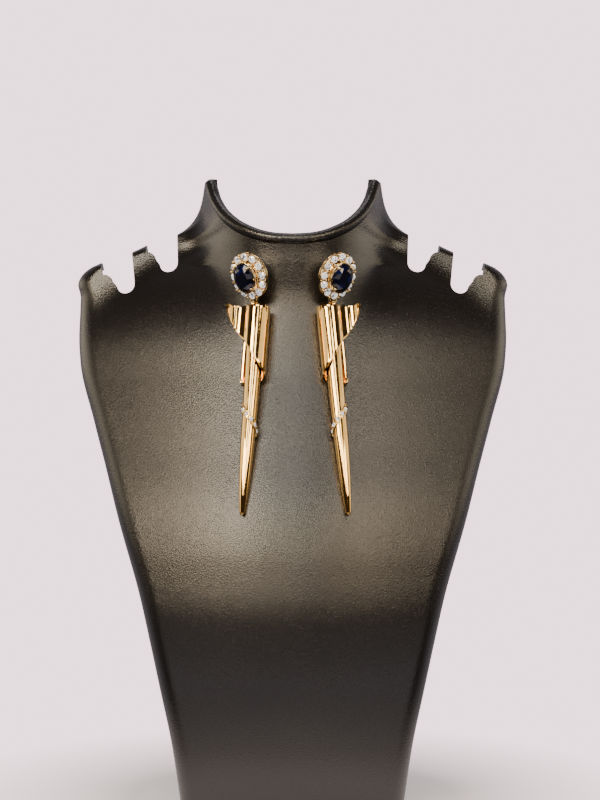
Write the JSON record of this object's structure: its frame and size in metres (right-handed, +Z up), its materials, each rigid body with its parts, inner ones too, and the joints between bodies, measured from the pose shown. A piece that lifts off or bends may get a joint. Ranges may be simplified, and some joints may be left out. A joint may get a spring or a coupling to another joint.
{
  "type": "pair of dangle earrings on a neck bust",
  "caption": "Gold dangle earrings with an oval blue stone in a clear halo and a long wrapped spike drop, hung on a hollow black neck bust",
  "frame": {"origin": "centre of the bounding box, on the surface that the bust stands on", "axes": "+Z up, the bust's front and the earrings face -Y, +X to the viewer's right"},
  "size_m": [0.1536, 0.0699, 0.212],
  "materials": {
    "plastic": "fine leather grain, semi-gloss",
    "gold": "polished gold plating",
    "blue_stone": "polished, cut",
    "clear_stone": "polished, cut"
  },
  "bodies": {
    "bust": {"bust_shell": "plastic", "left_cluster_setting": "gold", "left_centre_stone": "blue_stone", "left_halo_stone_01": "clear_stone", "left_halo_stone_02": "clear_stone", "left_halo_stone_03": "clear_stone", "left_halo_stone_04": "clear_stone", "left_halo_stone_05": "clear_stone", "left_halo_stone_06": "clear_stone", "left_halo_stone_07": "clear_stone", "left_halo_stone_08": "clear_stone", "left_halo_stone_09": "clear_stone", "left_halo_stone_10": "clear_stone", "left_halo_stone_11": "clear_stone", "left_halo_stone_12": "clear_stone", "right_cluster_setting": "gold", "right_centre_stone": "blue_stone", "right_halo_stone_01": "clear_stone", "right_halo_stone_02": "clear_stone", "right_halo_stone_03": "clear_stone", "right_halo_stone_04": "clear_stone", "right_halo_stone_05": "clear_stone", "right_halo_stone_06": "clear_stone", "right_halo_stone_07": "clear_stone", "right_halo_stone_08": "clear_stone", "right_halo_stone_09": "clear_stone", "right_halo_stone_10": "clear_stone", "right_halo_stone_11": "clear_stone", "right_halo_stone_12": "clear_stone"},
    "left_drop_body": {"left_drop": "gold", "left_pave_stone_1": "clear_stone", "left_pave_stone_2": "clear_stone", "left_pave_stone_3": "clear_stone", "left_pave_stone_4": "clear_stone", "left_pave_stone_5": "clear_stone"},
    "right_drop_body": {"right_drop": "gold", "right_pave_stone_1": "clear_stone", "right_pave_stone_2": "clear_stone", "right_pave_stone_3": "clear_stone", "right_pave_stone_4": "clear_stone", "right_pave_stone_5": "clear_stone"}
  },
  "joints": [
    {"name": "left_drop_swing", "type": "hinge", "parent": "bust", "child": "left_drop_body", "pos_m": [-0.01294, -0.00627, 0.1669], "axis": [-0.9693, 0.2461, 0], "range_deg": [0, 45]},
    {"name": "right_drop_swing", "type": "hinge", "parent": "bust", "child": "right_drop_body", "pos_m": [0.01354, -0.00592, 0.1669], "axis": [-0.9495, -0.3137, 0], "range_deg": [0, 45]}
  ]
}
